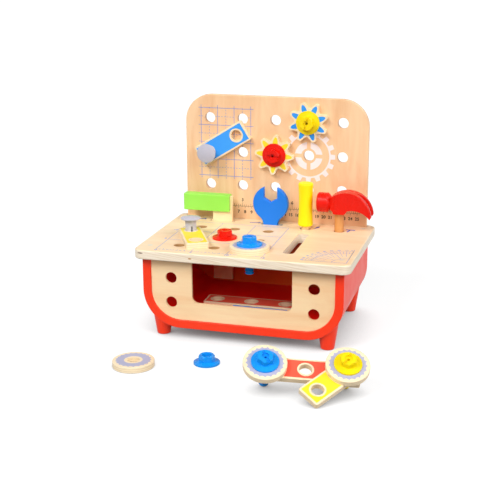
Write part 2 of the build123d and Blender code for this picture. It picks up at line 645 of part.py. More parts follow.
pieces["square_blade"] = fillet(blade.edges().filter_by(Axis.Z), PLATE_EDGE_ROUNDING)

# The wrench is a flat open-ended one, its jaw sized for the bolts' heads.
handle_length = WRENCH_HANDLE_REACH + WRENCH_HEAD_RISE
wrench_handle = Pos(0, -handle_length / 2) * Rectangle(WRENCH_HANDLE_WIDTH, handle_length)
wrench_handle = fillet(wrench_handle.vertices().group_by(Axis.Y)[0], WRENCH_HANDLE_WIDTH * 0.45)
wrench_outline = Circle(WRENCH_HEAD_RADIUS) + wrench_handle
necks = [v for v in wrench_outline.vertices() if abs(v.center().length - WRENCH_HEAD_RADIUS) < 0.01]
necks = [v for v in necks if v.Y < 0 and abs(abs(v.X) - WRENCH_HANDLE_WIDTH / 2) < 0.01]
wrench_outline = fillet(necks, WRENCH_NECK_RADIUS)
jaw = WRENCH_JAW_WIDTH / 2
wrench_outline -= Polygon(
    (-jaw, 2 * WRENCH_HEAD_RADIUS),
    (-jaw, WRENCH_JAW_FLOOR),
    (0, WRENCH_JAW_FLOOR - WRENCH_JAW_VEE),
    (jaw, WRENCH_JAW_FLOOR),
    (jaw, 2 * WRENCH_HEAD_RADIUS),
    align=None,
)
wrench = upright(wrench_outline, -WRENCH_THICKNESS / 2, WRENCH_THICKNESS / 2)
wrench = fillet(
    wrench.faces().sort_by(Axis.Y)[0].edges() + wrench.faces().sort_by(Axis.Y)[-1].edges(),
    WRENCH_EDGE_ROUNDING,
)
pieces["wrench"] = Pos(WRENCH_SLOT_X + WRENCH_SHIFT, tool_slot_y, worktop_top + WRENCH_HEAD_RISE) * wrench

# The screwdriver stands on the shell's floor: a waisted handle on a round shaft with a flat tip.
driver_at = Pos(driver_hole_x, tool_hole_y, 0)
handle_bottom = worktop_top + DRIVER_STANDOFF
handle_top = handle_bottom + DRIVER_HANDLE_LENGTH
handle_radius = DRIVER_HANDLE_DIAMETER / 2
handle_side = ThreePointArc(
    (handle_radius, 0, handle_bottom),
    (handle_radius - DRIVER_HANDLE_WAIST, 0, (handle_bottom + handle_top) / 2),
    (handle_radius, 0, handle_top),
)
handle_rest = Polyline((handle_radius, 0, handle_top), (0, 0, handle_top), (0, 0, handle_bottom), (
    handle_radius, 0, handle_bottom))
driver_handle = revolve(make_face([handle_side, handle_rest]), axis=Axis.Z)
driver_handle = fillet(driver_handle.edges().filter_by(GeomType.CIRCLE), DRIVER_HANDLE_ROUNDING)
shaft_radius = DRIVER_SHAFT_DIAMETER / 2
socket_top = handle_bottom + DRIVER_SOCKET_DEPTH
driver_handle -= Pos(0, 0, handle_bottom) * Cylinder(shaft_radius + GLUE_GAP, 2 * DRIVER_SOCKET_DEPTH)
pieces["screwdriver_handle"] = driver_at * driver_handle
shaft_length = socket_top - SOCKET_END_GAP - shell_floor
shaft = Pos(0, 0, shell_floor) * Cylinder(
    shaft_radius, shaft_length, align=(Align.CENTER, Align.CENTER, Align.MIN)
)
cheek = Polygon(
    (DRIVER_TIP_THICKNESS / 2, 0),
    (DRIVER_TIP_THICKNESS / 2, DRIVER_TIP_LENGTH / 3),
    (shaft_radius, DRIVER_TIP_LENGTH),
    (2 * shaft_radius, DRIVER_TIP_LENGTH),
    (2 * shaft_radius, 0),
    align=None,
)
cheek = Pos(0, 0, shell_floor) * upright(cheek, -2 * shaft_radius, 2 * shaft_radius)
pieces["screwdriver_shaft"] = driver_at * (shaft - cheek - Rot(0, 0, 180) * cheek)

# The hammer stands on the shell's floor: a claw head on a round handle.
hammer_at = Pos(hammer_hole_x, tool_hole_y, 0)
boss_bottom = worktop_top + HAMMER_STANDOFF
head_axis = boss_bottom + HAMMER_BOSS_DROP
neck_radius = HAMMER_NECK_DIAMETER / 2
face_radius = HAMMER_FACE_DIAMETER / 2
neck_x = HAMMER_FACE_LENGTH + HAMMER_NECK_LENGTH - HAMMER_REACH
boss = HAMMER_HANDLE_DIAMETER / 2 + HAMMER_BOSS_WALL
claw_tip = (HAMMER_CLAW_REACH, HAMMER_CLAW_TIP_HEIGHT - HAMMER_CLAW_DROP)
claw_heel = (HAMMER_CLAW_REACH - HAMMER_CLAW_TIP_SLOPE, -HAMMER_CLAW_DROP)
belly_end = (boss + HAMMER_BOSS_FLARE, -0.45 * HAMMER_CLAW_DROP)
crown_end = (0.7 * HAMMER_CLAW_REACH, 0.6 * HAMMER_CROWN_RISE)
crown = ThreePointArc((neck_x, neck_radius), (0.26 * HAMMER_CLAW_REACH, HAMMER_CROWN_RISE), crown_end)
claw_back = TangentArc(crown_end, claw_tip, tangent=crown % 1)
belly = ThreePointArc(claw_heel, (0.66 * HAMMER_CLAW_REACH, -0.47 * HAMMER_CLAW_DROP), belly_end)
under = Polyline(
    belly_end,
    (boss, -HAMMER_BOSS_DROP),
    (HAMMER_BOSS_CHAMFER - boss, -HAMMER_BOSS_DROP),
    (-boss, -0.72 * HAMMER_BOSS_DROP),
    (neck_x, -neck_radius),
    (neck_x, neck_radius),
)
head_outline = make_face([crown, claw_back, Line(claw_tip, claw_heel), belly, under])
head = upright(head_outline, -HAMMER_CLAW_WIDTH / 2, HAMMER_CLAW_WIDTH / 2)
cheeks = head.faces().sort_by(Axis.Y)[0].edges() + head.faces().sort_by(Axis.Y)[-1].edges()
head = fillet([e for e in cheeks if e.geom_type == GeomType.CIRCLE and e.center().Z > 0], HAMMER_BODY_ROUNDING)
half_body = HAMMER_BODY_THICKNESS / 2
half_claw = HAMMER_CLAW_WIDTH / 2
plan = Polygon(
    (neck_x, neck_radius),
    (-boss / 2, half_body),
    (boss, half_body),
    (HAMMER_CLAW_REACH, half_claw),
    (2 * HAMMER_CLAW_REACH, half_claw),
    (2 * HAMMER_CLAW_REACH, -half_claw),
    (HAMMER_CLAW_REACH, -half_claw),
    (boss, -half_body),
    (-boss / 2, -half_body),
    (neck_x, -neck_radius),
    align=None,
)
head &= extrude(plan, amount=2 * HAMMER_CLAW_REACH, both=True)
split = HAMMER_SPLIT_WIDTH / 2
shoulder_split = HAMMER_SPLIT_SHOULDER_WIDTH / 2
vee = Polygon(
    (HAMMER_SPLIT_START, 0),
    (HAMMER_SPLIT_SHOULDER, shoulder_split),
    (HAMMER_CLAW_REACH, split),
    (2 * HAMMER_CLAW_REACH, split),
    (2 * HAMMER_CLAW_REACH, -split),
    (HAMMER_CLAW_REACH, -split),
    (HAMMER_SPLIT_SHOULDER, -shoulder_split),
    align=None,
)
head -= extrude(vee, amount=2 * HAMMER_CLAW_REACH, both=True)
face_end = -HAMMER_REACH
shoulder = face_end + HAMMER_FACE_LENGTH
poll = revolve(
    make_face(
        Polyline(
            (face_end, 0),
            (face_end, face_radius - HAMMER_FACE_ROUNDING),
            (face_end + HAMMER_FACE_ROUNDING, face_radius),
            (shoulder, face_radius),
            (neck_x, neck_radius),
            (0, neck_radius),
            (0, 0),
            close=True,
        )
    ),
    axis=Axis.X,
)
head += poll
head -= Pos(0, 0, -HAMMER_BOSS_DROP) * Cylinder(
    HAMMER_HANDLE_DIAMETER / 2 + GLUE_GAP, 2 * HAMMER_SOCKET_DEPTH
)
pieces["hammer_head"] = hammer_at * Pos(0, 0, head_axis) * head
# The handle's outer edge meets the rising corner of the box.
handle_edge = hammer_hole_x + HAMMER_HANDLE_DIAMETER / 2
handle_rest_z = max(
    box_floor(handle_edge - HAMMER_HANDLE_CHAMFER), box_floor(handle_edge) - HAMMER_HANDLE_CHAMFER
)
hammer_handle = Cylinder(
    HAMMER_HANDLE_DIAMETER / 2,
    boss_bottom + HAMMER_SOCKET_DEPTH - SOCKET_END_GAP - handle_rest_z,
    align=(Align.CENTER, Align.CENTER, Align.MIN),
)
hammer_handle = chamfer(hammer_handle.edges().filter_by(GeomType.CIRCLE), HAMMER_HANDLE_CHAMFER)
pieces["hammer_handle"] = hammer_at * Pos(0, 0, handle_rest_z) * hammer_handle

# On the floor: a loose disc and a loose nut.
pieces["floor_disc"] = Pos(*FLOOR_DISC_PLACE) * disc()
pieces["floor_nut_blue"] = Pos(*FLOOR_NUT_PLACE) * Rot(0, 0, FLOOR_NUT_ANGLE) * nut()

# The linkage: a red strip joined to a disc at one end, and to a yellow arm and a disc at the other.
# It leans on the ends of its two bolts and on the lowest corner of the arm.
link_far = 2 * HOLE_PITCH
arm_along = Vector(math.cos(math.radians(LINKAGE_ARM_ANGLE)), math.sin(math.radians(LINKAGE_ARM_ANGLE)), 0)
arm_across = Vector(-arm_along.Y, arm_along.X, 0)
arm_pivot = Vector(link_far, 0, 0)
near_bolt_end = Vector(0, 0, PLATE_THICKNESS - THREAD_LENGTH)
far_bolt_end = Vector(link_far, 0, 2 * PLATE_THICKNESS - THREAD_LENGTH)
corner_reach = HOLE_PITCH + STRIP_END - STRIP_CORNER_RADIUS
corner_side = STRIP_WIDTH / 2 - STRIP_CORNER_RADIUS
arm_corner = arm_pivot + arm_along * corner_reach + arm_across * corner_side
bolt_tip_radius = THREAD_DIAMETER / 2 - THREAD_TIP_CHAMFER
ground_up = Vector(0, 0, 1)
for _ in range(12):
    # The lowest point of each round end moves with the slope, so the slope is found by repetition.
    down_slope = Vector(-ground_up.X, -ground_up.Y, 0).normalized() if ground_up.Z < 1 else Vector(0, 0, 0)
    first = near_bolt_end + down_slope * bolt_tip_radius
    second = far_bolt_end + down_slope * bolt_tip_radius
    rounding = STRIP_CORNER_RADIUS - PLATE_EDGE_ROUNDING
    third = arm_corner + down_slope * rounding
    ground_up = (second - first).cross(third - first).normalized()
    ground_up = ground_up if ground_up.Z > 0 else ground_up * -1
ground = Plane(origin=first, x_dir=second - first, z_dir=ground_up)
linkage_at = Pos(*LINKAGE_PLACE) * Rot(0, 0, LINKAGE_HEADING) * ground.location.inverse()
link_end = Pos(link_far, 0, 0)
pieces["link_strip_red"] = linkage_at * Pos(0, 0, -PLATE_THICKNESS) * strip(3)
pieces["link_disc_near"] = linkage_at * disc()
pieces["link_bolt_blue"] = linkage_at * plate_face * Rot(0, 0, BLUE_LINK_BOLT_ANGLE) * bolt()
pieces["link_arm_yellow"] = linkage_at * link_end * Rot(0, 0, LINKAGE_ARM_ANGLE) * strip(2)
pieces["link_disc_far"] = linkage_at * link_end * plate_face * disc()
pieces["link_bolt_yellow"] = (
    linkage_at * link_end * plate_face * plate_face * Rot(0, 0, YELLOW_LINK_BOLT_ANGLE) * bolt()
)

os.makedirs("parts", exist_ok=True)
for name, piece in pieces.items():
    export_step(piece, f"parts/{name}.step")
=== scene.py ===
import json
import math

import bpy
import bmesh
from mathutils import Matrix, Vector


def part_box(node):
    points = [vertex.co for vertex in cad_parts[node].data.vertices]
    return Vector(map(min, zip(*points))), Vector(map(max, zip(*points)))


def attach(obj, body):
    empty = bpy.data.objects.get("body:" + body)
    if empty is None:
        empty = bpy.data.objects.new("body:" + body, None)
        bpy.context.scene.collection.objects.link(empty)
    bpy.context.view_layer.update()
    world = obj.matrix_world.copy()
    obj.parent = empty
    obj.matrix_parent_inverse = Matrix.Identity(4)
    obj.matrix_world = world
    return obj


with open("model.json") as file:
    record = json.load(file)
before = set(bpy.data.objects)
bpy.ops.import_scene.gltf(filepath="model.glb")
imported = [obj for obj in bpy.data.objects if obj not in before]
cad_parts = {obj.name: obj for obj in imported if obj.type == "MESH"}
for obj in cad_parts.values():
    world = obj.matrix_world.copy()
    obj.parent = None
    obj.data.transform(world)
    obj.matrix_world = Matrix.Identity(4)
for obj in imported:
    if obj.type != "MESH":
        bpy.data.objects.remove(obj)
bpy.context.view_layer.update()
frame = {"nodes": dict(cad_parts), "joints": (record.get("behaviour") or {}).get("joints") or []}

nodes = frame["nodes"]


# The shell is one plywood board bent to a U and sprayed with satin red paint.
# Inside the box the red is deeper and purer: painted red bounce light.
# Four turned feet in the same paint are coped to its round corners and doweled in from below.
SHELL_WALL = 0.012
CORNER_CUT = 0.087
MARGIN = 0.0003
shell_low, shell_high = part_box("shell")
panel_low, panel_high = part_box("front_panel")
board_low, board_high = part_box("back_board")
worktop_low, worktop_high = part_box("worktop")


def tone(red, green, blue):
    """A colour read off a screen, as the linear colour that a shader takes."""
    parts = [c / 255 for c in (red, green, blue)]
    return [c / 12.92 if c <= 0.04045 else ((c + 0.055) / 1.055) ** 2.4 for c in parts] + [1.0]


def node(tree, kind, inputs=None, **settings):
    """One shader node with its settings, and with numbers or links on its inputs."""
    made = tree.nodes.new(kind)
    for key, value in settings.items():
        setattr(made, key, value)
    for key, value in (inputs or {}).items():
        if isinstance(value, bpy.types.NodeSocket):
            tree.links.new(value, made.inputs[key])
        else:
            made.inputs[key].default_value = value
    return made


def spread(tree, value, low, high, start, end):
    """A value between low and high, stretched to run from start to end."""
    made = node(tree, "ShaderNodeMapRange", {"Value": value, "From Min": low, "From Max": high})
    made.inputs["To Min"].default_value = start
    made.inputs["To Max"].default_value = end
    return made.outputs["Result"]


def blend_colours(tree, factor, first, second, how="MIX"):
    """Two colours mixed by a mask."""
    made = node(tree, "ShaderNodeMix", data_type="RGBA", blend_type=how)
    for index, value in ((0, factor), (6, first), (7, second)):
        if isinstance(value, bpy.types.NodeSocket):
            tree.links.new(value, made.inputs[index])
        else:
            made.inputs[index].default_value = value
    return made.outputs[2]


def reckon(tree, how, first, second=0.0):
    """One step of arithmetic on values."""
    return node(tree, "ShaderNodeMath", {0: first, 1: second}, operation=how).outputs[0]


def new_group(name, takes, gives):
    """An empty shader group with its named sockets."""
    tree = bpy.data.node_groups.new(name, "ShaderNodeTree")
    kinds = {"vector": "NodeSocketVector", "colour": "NodeSocketColor", "value": "NodeSocketFloat"}
    for label, kind in takes.items():
        tree.interface.new_socket(label, in_out="INPUT", socket_type=kinds[kind])
    for label, kind in gives.items():
        tree.interface.new_socket(label, in_out="OUTPUT", socket_type=kinds[kind])
    return tree, node(tree, "NodeGroupInput").outputs, node(tree, "NodeGroupOutput")


def paint_film_group():
    """Sprayed paint over wood: soft clouds of thin and thick paint, a fine orange peel, uneven sheen."""
    tree, given, result = new_group(
        "paint film",
        {"Place": "vector", "Colour": "colour", "Thin colour": "colour"},
        {"Colour": "colour", "Roughness": "value", "Height": "value"},
    )
    cloud = node(tree, "ShaderNodeTexNoise", {"Vector": given["Place"], "Scale": 26.0, "Detail": 5.0})
    peel = node(tree, "ShaderNodeTexNoise", {"Vector": given["Place"], "Scale": 700.0, "Detail": 2.0})
    thin = spread(tree, cloud.outputs["Fac"], 0.35, 0.8, 0.0, 0.8)
    colour = blend_colours(tree, thin, given["Colour"], given["Thin colour"])
    tree.links.new(colour, result.inputs["Colour"])
    tree.links.new(spread(tree, cloud.outputs["Fac"], 0.3, 0.7, 0.33, 0.47), result.inputs["Roughness"])
    tree.links.new(peel.outputs["Fac"], result.inputs["Height"])
    return tree


def inside_group():
    """A mask that is 1 within the box, from the panel's back to the board and below the worktop."""
    tree, given, result = new_group("inside the box", {"Place": "vector"}, {"Inside": "value"})
    along = node(tree, "ShaderNodeSeparateXYZ", {0: given["Place"]}).outputs
    side = reckon(tree, "ABSOLUTE", along["X"])
    tests = [
        reckon(tree, "LESS_THAN", side, shell_high.x - SHELL_WALL + MARGIN),
        reckon(tree, "GREATER_THAN", along["Y"], panel_high.y - MARGIN),
        reckon(tree, "LESS_THAN", along["Y"], board_low.y + MARGIN),
        reckon(tree, "GREATER_THAN", along["Z"], shell_low.z + SHELL_WALL - MARGIN),
        reckon(tree, "LESS_THAN", along["Z"], worktop_low.z + MARGIN),
        reckon(tree, "LESS_THAN", reckon(tree, "SUBTRACT", side, along["Z"]), CORNER_CUT),
    ]
    inside = tests[0]
    for test in tests[1:]:
        inside = reckon(tree, "MULTIPLY", inside, test)
    tree.links.new(inside, result.inputs["Inside"])
    return tree


paint_film = paint_film_group()
inside_box = inside_group()


def changed_inside(tree, place, shown, pair):
    """A colour that gives way, on faces inside the box, to a deeper one that paints the red bounce light
    there.
    """
    within = node(tree, "ShaderNodeGroup", {"Place": place}, node_tree=inside_box)
    inputs = {"Place": place, "Colour": pair[0], "Thin colour": pair[1]}
    # painted red bounce light inside the box
    painted_bounce_tint = node(tree, "ShaderNodeGroup", inputs, node_tree=paint_film)
    return blend_colours(tree, within.outputs["Inside"], shown, painted_bounce_tint.outputs["Colour"])


def painted(name, colour, thin, inside=None):
    """Satin paint on wood, with another pair of colours on faces inside the box where one is given."""
    material = bpy.data.materials.new(name)
    material.use_nodes = True
    tree = material.node_tree
    shader = tree.nodes["Principled BSDF"]
    place = node(tree, "ShaderNodeTexCoord").outputs["Object"]
    inputs = {"Place": place, "Colour": colour, "Thin colour": thin}
    film = node(tree, "ShaderNodeGroup", inputs, node_tree=paint_film)
    shown = film.outputs["Colour"]
    if inside:
        shown = changed_inside(tree, place, shown, inside)
    inputs = {"Strength": 0.12, "Distance": 0.0002, "Height": film.outputs["Height"]}
    bump = node(tree, "ShaderNodeBump", inputs)
    tree.links.new(shown, shader.inputs["Base Color"])
    tree.links.new(film.outputs["Roughness"], shader.inputs["Roughness"])
    tree.links.new(bump.outputs["Normal"], shader.inputs["Normal"])
    shader.inputs["Specular IOR Level"].default_value = 0.3
    shader.inputs["Coat Weight"].default_value = 0.06
    shader.inputs["Coat Roughness"].default_value = 0.25
    return material


def dress(names, material):
    """The material on CAD nodes, in place of the one they came with."""
    for name in names:
        nodes[name].data.materials.clear()
        nodes[name].data.materials.append(material)


# Inside the box the shell and the panel's back take a deeper, purer red: painted red bounce light.
red_with_painted_bounce = (tone(255, 17, 8), tone(248, 12, 4))
red_paint = painted("red paint", tone(252, 60, 24), tone(246, 52, 16), red_with_painted_bounce)
dress(["shell", "foot_front_left", "foot_front_right", "foot_rear_left", "foot_rear_right"], red_paint)


# The front panel, the worktop and the tall back board are pale plywood under clear satin lacquer.
# The panel is glued into the U with its back sprayed red, the worktop is doweled down over it,
# and the board stands in the worktop's slot behind the box.
def wood_figure_group():
    """Wood under lacquer: broad figure, fine streaks along the grain, and short dark pores."""
    tree, given, result = new_group(
        "wood figure",
        {"Place": "vector", "Pale": "colour", "Dark": "colour", "Figure": "value"},
        {"Colour": "colour", "Roughness": "value", "Height": "value"},
    )

    def along(x, y, z):
        made = node(tree, "ShaderNodeVectorMath", {0: given["Place"], 1: (x, y, z)}, operation="MULTIPLY")
        return made.outputs["Vector"]

    broad = node(tree, "ShaderNodeTexNoise", {"Vector": along(6, 24, 24), "Scale": 1.0, "Detail": 4.0})
    broad.inputs["Distortion"].default_value = 1.4
    streak = node(tree, "ShaderNodeTexNoise", {"Vector": along(10, 210, 210), "Scale": 1.0, "Detail": 5.0})
    streak.inputs["Distortion"].default_value = 0.4
    pore = node(tree, "ShaderNodeTexNoise", {"Vector": along(120, 2200, 2200), "Scale": 1.0, "Detail": 1.0})
    pores = spread(tree, pore.outputs["Fac"], 0.6, 0.78, 0.0, 1.0)
    figure = spread(tree, broad.outputs["Fac"], 0.36, 0.68, 0.0, 0.8)
    lines = spread(tree, streak.outputs["Fac"], 0.35, 0.7, 0.0, 0.2)
    amount = reckon(tree, "MULTIPLY", reckon(tree, "ADD", figure, lines), given["Figure"])
    figured = blend_colours(tree, amount, given["Pale"], given["Dark"])
    colour = blend_colours(tree, reckon(tree, "MULTIPLY", pores, 0.1), figured, tone(170, 112, 60))
    tree.links.new(colour, result.inputs["Colour"])
    tree.links.new(spread(tree, streak.outputs["Fac"], 0.3, 0.7, 0.42, 0.56), result.inputs["Roughness"])
    tree.links.new(pores, result.inputs["Height"])
    return tree


def glue_line_group():
    """Plywood seen from its edge: two thin glue lines that divide the thickness in three."""
    takes = {"Place": "vector", "Thickness": "value"}
    tree, given, result = new_group("glue lines", takes, {"Line": "value"})
    height = node(tree, "ShaderNodeSeparateXYZ", {0: given["Place"]}).outputs["Z"]
    share = reckon(tree, "DIVIDE", height, given["Thickness"])
    from_middle = reckon(tree, "ABSOLUTE", reckon(tree, "SUBTRACT", share, 0.5))
    from_line = reckon(tree, "ABSOLUTE", reckon(tree, "SUBTRACT", from_middle, 1 / 6))
    tree.links.new(spread(tree, from_line, 0.0, 0.06, 0.5, 0.0), result.inputs["Line"])
    return tree


wood_figure = wood_figure_group()
glue_lines = glue_line_group()


def lacquered(name, pale, dark, own=Matrix(), figure=1.0, inside=None, layers=0.0):
    """Lacquered wood with its grain along the X of its own frame, and glue lines across a thickness."""
    material = bpy.data.materials.new(name)
    material.use_nodes = True
    tree = material.node_tree
    shader = tree.nodes["Principled BSDF"]
    place = node(tree, "ShaderNodeTexCoord").outputs["Object"]
    local = node(tree, "ShaderNodeMapping", {"Vector": place}, vector_type="TEXTURE")
    local.inputs["Location"].default_value = own.to_translation()
    local.inputs["Rotation"].default_value = own.to_euler()
    inputs = {"Place": local.outputs["Vector"], "Pale": pale, "Dark": dark, "Figure": figure}
    wood = node(tree, "ShaderNodeGroup", inputs, node_tree=wood_figure)
    shown = wood.outputs["Colour"]
    if layers:
        inputs = {"Place": local.outputs["Vector"], "Thickness": layers}
        glue = node(tree, "ShaderNodeGroup", inputs, node_tree=glue_lines)
        shown = blend_colours(tree, glue.outputs["Line"], shown, tone(188, 148, 98))
    if inside:
        shown = changed_inside(tree, place, shown, inside)
    inputs = {"Strength": 0.1, "Distance": 0.0002, "Height": wood.outputs["Height"]}
    bump = node(tree, "ShaderNodeBump", inputs, invert=True)
    tree.links.new(shown, shader.inputs["Base Color"])
    tree.links.new(wood.outputs["Roughness"], shader.inputs["Roughness"])
    tree.links.new(bump.outputs["Normal"], shader.inputs["Normal"])
    shader.inputs["Specular IOR Level"].default_value = 0.35
    shader.inputs["Coat Weight"].default_value = 0.2
    shader.inputs["Coat Roughness"].default_value = 0.25
    return material


GRAIN_UP = Matrix.Rotation(math.radians(-90), 4, "Y")
dress(["front_panel"], lacquered("panel wood", tone(252, 220, 174), tone(244, 198, 148), inside=red_with_painted_bounce))
board_own = Matrix.Translation((0.3, 0.2, 0.1)) @ GRAIN_UP
# The board's face inside the box, below the worktop, is tinted orange-red: painted red bounce light on bare
# wood.
board_painted_bounce = (tone(253, 116, 34), tone(246, 98, 24))
board_wood = lacquered("board wood", tone(252, 212, 168), tone(238, 186, 138), board_own, inside=board_painted_bounce)
dress(["back_board"], board_wood)


# The worktop is one thick plywood plate, rounded over along its edges and lacquered.
# Its sawn edge is paler than its face, with slanting lines of grain and two small knots,
# and the walls of its drilled peg holes are darker: partly end grain, partly painted shade.
def spot(tree, place, centre, size):
    """A soft-edged mask around a point, with its own reach along each axis."""
    away = node(tree, "ShaderNodeVectorMath", {0: place, 1: centre}, operation="SUBTRACT").outputs["Vector"]
    reach = [1 / length for length in size]
    scaled = node(tree, "ShaderNodeVectorMath", {0: away, 1: reach}, operation="MULTIPLY").outputs["Vector"]
    distance = node(tree, "ShaderNodeVectorMath", {0: scaled}, operation="LENGTH").outputs["Value"]
    return spread(tree, distance, 0.55, 1.0, 1.0, 0.0)


EDGE_MARGIN = 0.0008
PITCH = 0.05
FIRST_HOLE = (-0.095, -0.068)
TOP_HOLES = [(FIRST_HOLE[0] + PITCH * i, FIRST_HOLE[1] + PITCH * j) for i in range(3) for j in range(3)]
HOLE_GRAIN_AND_SHADE_REACH = 0.016
GRAIN_SLANT = 0.12
GRAIN_STRETCH = 40.0
KNOTS = (
    ((-0.0679, worktop_low.y, 0.1192), (0.0030, 0.004, 0.0012), tone(190, 140, 88)),
    ((-0.1388, worktop_low.y + 0.002, 0.1218), (0.0050, 0.006, 0.0011), tone(96, 58, 30)),
)
top_own = Matrix.Translation((0.3, 0.1, 0))
worktop_wood = lacquered("worktop wood", tone(253, 228, 190), tone(245, 208, 162), top_own, 0.8)
tree = worktop_wood.node_tree
shader = tree.nodes["Principled BSDF"]
place = node(tree, "ShaderNodeTexCoord").outputs["Object"]
along = node(tree, "ShaderNodeSeparateXYZ", {0: place}).outputs
slant = reckon(tree, "ADD", along["Z"], reckon(tree, "MULTIPLY", along["X"], GRAIN_SLANT))
steep = reckon(tree, "MULTIPLY", slant, GRAIN_STRETCH)
sheared = node(tree, "ShaderNodeCombineXYZ", {0: along["X"], 1: along["Y"], 2: steep})
grain = node(tree, "ShaderNodeTexNoise", {"Vector": sheared.outputs[0], "Scale": 24.0, "Detail": 3.0})
line = spread(tree, grain.outputs["Fac"], 0.46, 0.66, 0.0, 0.6)
edge = blend_colours(tree, line, tone(246, 232, 210), tone(216, 190, 152))
for centre, size, colour in KNOTS:
    edge = blend_colours(tree, spot(tree, place, centre, size), edge, colour)
# peg hole walls darker: partly their end grain, partly painted shade inside the holes
for x, y in TOP_HOLES:
    hole_grain_and_shade = spot(tree, place, (x, y, worktop_low.z), (HOLE_GRAIN_AND_SHADE_REACH, HOLE_GRAIN_AND_SHADE_REACH, 0.1))
    edge = blend_colours(tree, hole_grain_and_shade, edge, tone(200, 156, 104))
sawn = reckon(tree, "LESS_THAN", along["Z"], worktop_high.z - EDGE_MARGIN)
face = shader.inputs["Base Color"].links[0].from_socket
tree.links.new(blend_colours(tree, sawn, face, edge), shader.inputs["Base Color"])
dress(["worktop"], worktop_wood)


# Four glued dowels hold the worktop on the shell's walls, their end grain level with the printed face.
# Six plain steel countersunk screws hold the board from behind.
def steel(name, colour):
    """Dull turned steel with fine rings of wear."""
    material = bpy.data.materials.new(name)
    material.use_nodes = True
    tree = material.node_tree
    shader = tree.nodes["Principled BSDF"]
    place = node(tree, "ShaderNodeTexCoord").outputs["Object"]
    rub = node(tree, "ShaderNodeTexNoise", {"Vector": place, "Scale": 1800.0, "Detail": 3.0})
    tree.links.new(spread(tree, rub.outputs["Fac"], 0.3, 0.7, 0.3, 0.5), shader.inputs["Roughness"])
    shade = spread(tree, rub.outputs["Fac"], 0.3, 0.7, 0.0, 1.0)
    tree.links.new(blend_colours(tree, shade, colour, tone(150, 150, 156)), shader.inputs["Base Color"])
    shader.inputs["Metallic"].default_value = 1.0
    return material


dress(["worktop_dowels"], lacquered("dowel wood", tone(238, 226, 206), tone(214, 196, 168), GRAIN_UP))
dress(["board_screws"], steel("screw steel", tone(190, 190, 196)))


# Printed on the board in thin ink: a blue inch grid, a pale gear wheel and a black ruler.
# Each print is a film of ink a few hundredths of a millimetre thick, left off where the holes are.
INK = 0.00006


def ink(name, colour, worn):
    """Screen-printed ink, a little uneven, so that the wood shows through in places."""
    material = bpy.data.materials.new(name)
    material.use_nodes = True
    tree = material.node_tree
    shader = tree.nodes["Principled BSDF"]
    place = node(tree, "ShaderNodeTexCoord").outputs["Object"]
    inputs = {"Place": place, "Colour": colour, "Thin colour": worn}
    film = node(tree, "ShaderNodeGroup", inputs, node_tree=paint_film)
    tree.links.new(film.outputs["Colour"], shader.inputs["Base Color"])
    tree.links.new(film.outputs["Roughness"], shader.inputs["Roughness"])
    return material


def settle(name, mesh, place, material, body):
    """A finished mesh as a piece: its place goes into the mesh, and it rides on a body."""
    mesh.transform(place)
    mesh.materials.clear()
    mesh.materials.append(material)
    piece = bpy.data.objects.new(name, mesh)
    bpy.context.scene.collection.objects.link(piece)
    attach(piece, body)
    return piece


def strokes(name, lines, place, material, body):
    """Straight ink lines (x, y, x, y, width), each a flat bar on the plane that place gives."""
    shape = bmesh.new()
    for x0, y0, x1, y1, width in lines:
        middle = Vector(((x0 + x1) / 2, (y0 + y1) / 2, INK / 2))
        turn = Matrix.Rotation(math.atan2(y1 - y0, x1 - x0), 4, "Z")
        size = Matrix.Diagonal((math.hypot(x1 - x0, y1 - y0), width, INK, 1.0))
        bmesh.ops.create_cube(shape, size=1.0, matrix=Matrix.Translation(middle) @ turn @ size)
    mesh = bpy.data.meshes.new(name)
    shape.to_mesh(mesh)
    shape.free()
    return settle(name, mesh, place, material, body)


def flat_mesh(curve):
    """A flat curve or text as a mesh."""
    holder = bpy.data.objects.new("flat", curve)
    bpy.context.scene.collection.objects.link(holder)
    bpy.context.view_layer.update()
    mesh = bpy.data.meshes.new_from_object(holder.evaluated_get(bpy.context.evaluated_depsgraph_get()))
    bpy.data.objects.remove(holder)
    bpy.data.curves.remove(curve)
    return mesh


def cut_out(name, outlines, place, material, body, thick=INK):
    """Flat shapes with holes, from closed outlines of points, lying on the plane that place gives."""
    curve = bpy.data.curves.new(name, "CURVE")
    curve.dimensions = "2D"
    curve.fill_mode = "BOTH"
    curve.extrude = thick / 2
    for points in outlines:
        spline = curve.splines.new("POLY")
        spline.points.add(len(points) - 1)
        spline.use_cyclic_u = True
        for point, (x, y) in zip(spline.points, points):
            point.co = (x, y, 0.0, 1.0)
    mesh = flat_mesh(curve)
    mesh.transform(Matrix.Translation((0, 0, thick / 2)))
    return settle(name, mesh, place, material, body)


def figures(name, marks, size, weight, place, material, body):
    """Printed numbers (text, x, y, turn in degrees), centred on their points and thickened by a weight."""
    parts = bmesh.new()
    for text, x, y, turn in marks:
        curve = bpy.data.curves.new(name, "FONT")
        curve.body = text
        curve.size = size
        curve.extrude = INK / 2
        curve.offset = weight
        curve.align_x = "CENTER"
        curve.align_y = "CENTER"
        curve.resolution_u = 3
        mesh = flat_mesh(curve)
        mesh.transform(Matrix.Translation((x, y, INK / 2)) @ Matrix.Rotation(math.radians(turn), 4, "Z"))
        parts.from_mesh(mesh)
        bpy.data.meshes.remove(mesh)
    mesh = bpy.data.meshes.new(name)
    parts.to_mesh(mesh)
    parts.free()
    return settle(name, mesh, place, material, body)


def ring(radius, points=64, centre=(0.0, 0.0)):
    """Points around a circle."""
    turn = 2 * math.pi / points
    x, y = centre
    return [(x + radius * math.cos(i * turn), y + radius * math.sin(i * turn)) for i in range(points)]


